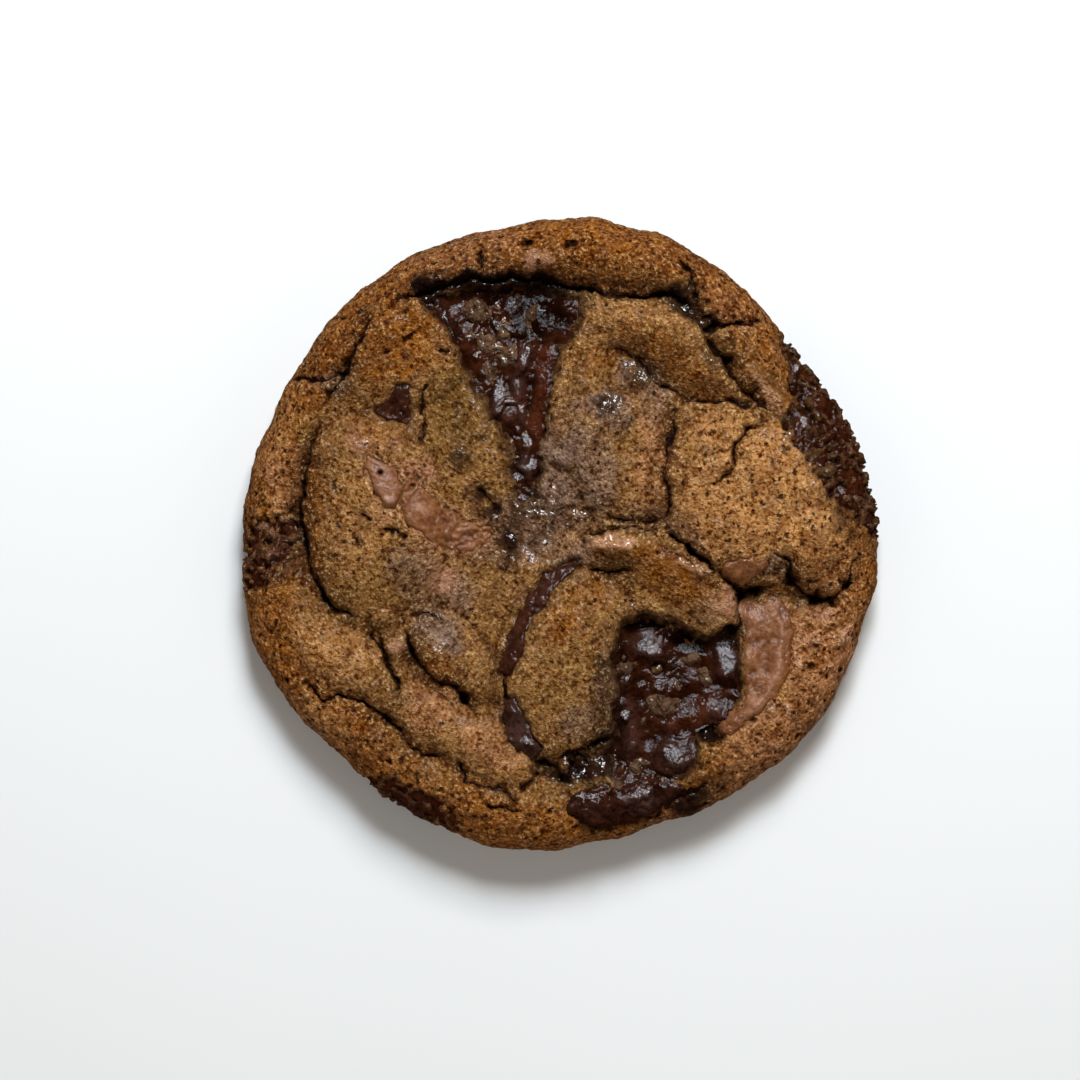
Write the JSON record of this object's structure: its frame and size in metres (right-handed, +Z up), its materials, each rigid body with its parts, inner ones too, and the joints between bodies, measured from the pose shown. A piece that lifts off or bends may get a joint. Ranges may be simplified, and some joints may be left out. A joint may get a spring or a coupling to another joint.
{
  "type": "double chocolate cookie",
  "caption": "Thick soft-baked cookie with a folded golden-brown top, pools of melted dark chocolate and chunks of milk chocolate.",
  "frame": {"origin": "middle of the cookie's bounding box at its flat underside", "axes": "+Z up through the thickness, +X to the picture's right and +Y to the picture's top"},
  "size_m": [0.1046, 0.1038, 0.0176],
  "materials": {
    "baked_dough": "dry, grainy and matte, golden on the domes and redder on the rim",
    "dark_chocolate": "wet gloss where melted",
    "milk_chocolate": "soft satin"
  },
  "bodies": {
    "root": {"dough": "baked_dough", "dark_melt_back": "dark_chocolate", "dark_melt_front": "dark_chocolate", "dark_melt_edge": "dark_chocolate", "dark_melt_right": "dark_chocolate", "dark_melt_left": "dark_chocolate", "dark_melt_front_left": "dark_chocolate", "dark_chip_back": "dark_chocolate", "dark_vein_back": "dark_chocolate", "dark_vein_front": "dark_chocolate", "milk_chunk_right": "milk_chocolate", "milk_chunk_fold": "milk_chocolate", "milk_melt_left": "milk_chocolate", "milk_melt_middle": "milk_chocolate"}
  },
  "joints": []
}
